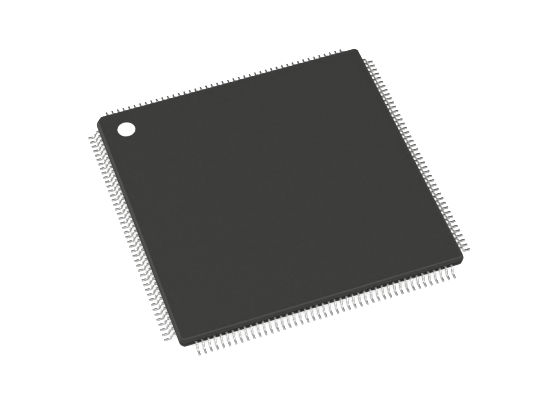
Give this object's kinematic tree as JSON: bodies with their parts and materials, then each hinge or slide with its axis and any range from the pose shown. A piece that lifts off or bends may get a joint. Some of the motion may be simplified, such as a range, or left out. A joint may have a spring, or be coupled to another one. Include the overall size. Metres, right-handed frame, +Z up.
{
  "type": "quad flat pack chip",
  "caption": "Thin square surface-mount chip package with fine gull-wing leads on all four sides, a chamfered pin 1 corner and a round white mark.",
  "frame": {"origin": "centre of the package on its seating plane, under the lead feet", "axes": "+X to the right along the front edge, +Y to the back edge, +Z up through the marked face; pin 1 is at the back left corner"},
  "size_m": [0.026, 0.026, 0.0011],
  "materials": {
    "mould_compound": "satin charcoal moulded epoxy with a faint grain",
    "white_ink": "flat white marking ink",
    "tin_plate": "matte tin plate on copper alloy",
    "polyimide_tape": "amber polyimide film",
    "copper_alloy": "bare stamped copper alloy",
    "silver_epoxy": "cured silver-filled adhesive",
    "silicon": "polished silicon with a passivated face",
    "gold_wire": "bright gold wire"
  },
  "bodies": {
    "root": {"body": "mould_compound", "pin1_mark": "white_ink", "leads_left_1": "tin_plate", "leads_left_2": "tin_plate", "leads_left_3": "tin_plate", "leads_left_4": "tin_plate", "leads_front_1": "tin_plate", "leads_front_2": "tin_plate", "leads_front_3": "tin_plate", "leads_front_4": "tin_plate", "leads_right_1": "tin_plate", "leads_right_2": "tin_plate", "leads_right_3": "tin_plate", "leads_right_4": "tin_plate", "leads_back_1": "tin_plate", "leads_back_2": "tin_plate", "leads_back_3": "tin_plate", "leads_back_4": "tin_plate", "lead_lock_tape": "polyimide_tape", "die_paddle": "copper_alloy", "die_attach": "silver_epoxy", "die": "silicon", "wires_left": "gold_wire", "wires_front": "gold_wire", "wires_right": "gold_wire", "wires_back": "gold_wire"}
  },
  "joints": []
}
